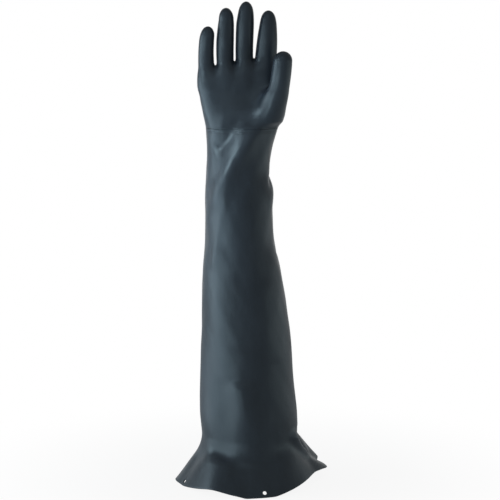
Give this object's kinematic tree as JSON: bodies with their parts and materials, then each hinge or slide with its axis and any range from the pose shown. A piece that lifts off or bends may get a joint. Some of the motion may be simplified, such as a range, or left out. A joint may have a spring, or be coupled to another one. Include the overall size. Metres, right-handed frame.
{
  "type": "sandblasting glove",
  "caption": "Long black rubber gauntlet for a blasting cabinet, with a hand, a sleeve that widens downwards and a flared, wavy cuff with stud holes.",
  "frame": {"origin": "on the floor, under the middle of the glove's bounding box, which stands on its cuff", "axes": "+Z from the cuff to the fingertips, -Y out of the palm, +X to the thumb side"},
  "size_m": [0.2508, 0.2412, 0.7796],
  "materials": {
    "black_rubber": "semi-matte blue-black moulded rubber"
  },
  "bodies": {
    "root": {"hand": "black_rubber", "sleeve": "black_rubber"}
  },
  "joints": []
}
